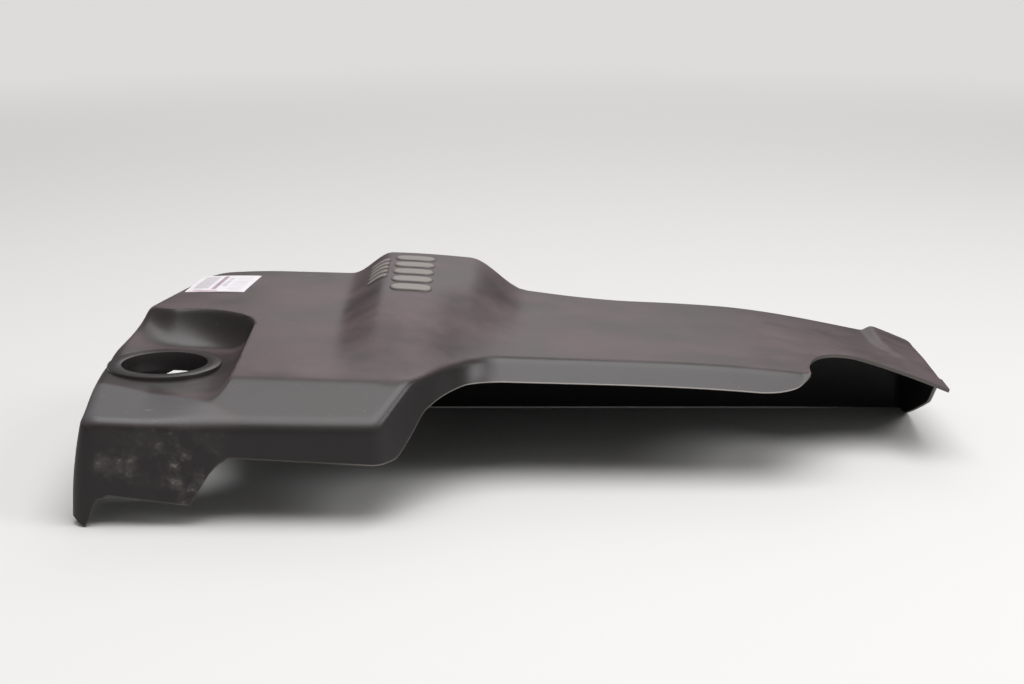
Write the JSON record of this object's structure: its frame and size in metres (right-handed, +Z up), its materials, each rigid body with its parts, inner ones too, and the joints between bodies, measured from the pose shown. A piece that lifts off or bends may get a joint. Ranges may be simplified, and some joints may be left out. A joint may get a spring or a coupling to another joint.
{
  "type": "engine cover",
  "caption": "Moulded plastic engine cover with a wide front block, scooped filler pocket, raised pad and long tongue with an arch",
  "frame": {"origin": "centre of the bounding box in X and Y, at the lowest point the cover rests on", "axes": "X runs from the filler end to the tip of the tongue, Y from the near skirt to the far wall, Z up"},
  "size_m": [0.62, 0.2935, 0.1332],
  "materials": {
    "cover_plastic": "charcoal black, fine moulded grain, slightly dusty satin",
    "label_paper": "pale pinkish paper label with grey print fields",
    "grommet_rubber": "black soft rubber"
  },
  "bodies": {
    "root": {"cover": "cover_plastic", "stock_label": "label_paper", "grommet_1": "grommet_rubber", "grommet_2": "grommet_rubber", "grommet_3": "grommet_rubber", "grommet_4": "grommet_rubber"}
  },
  "joints": []
}
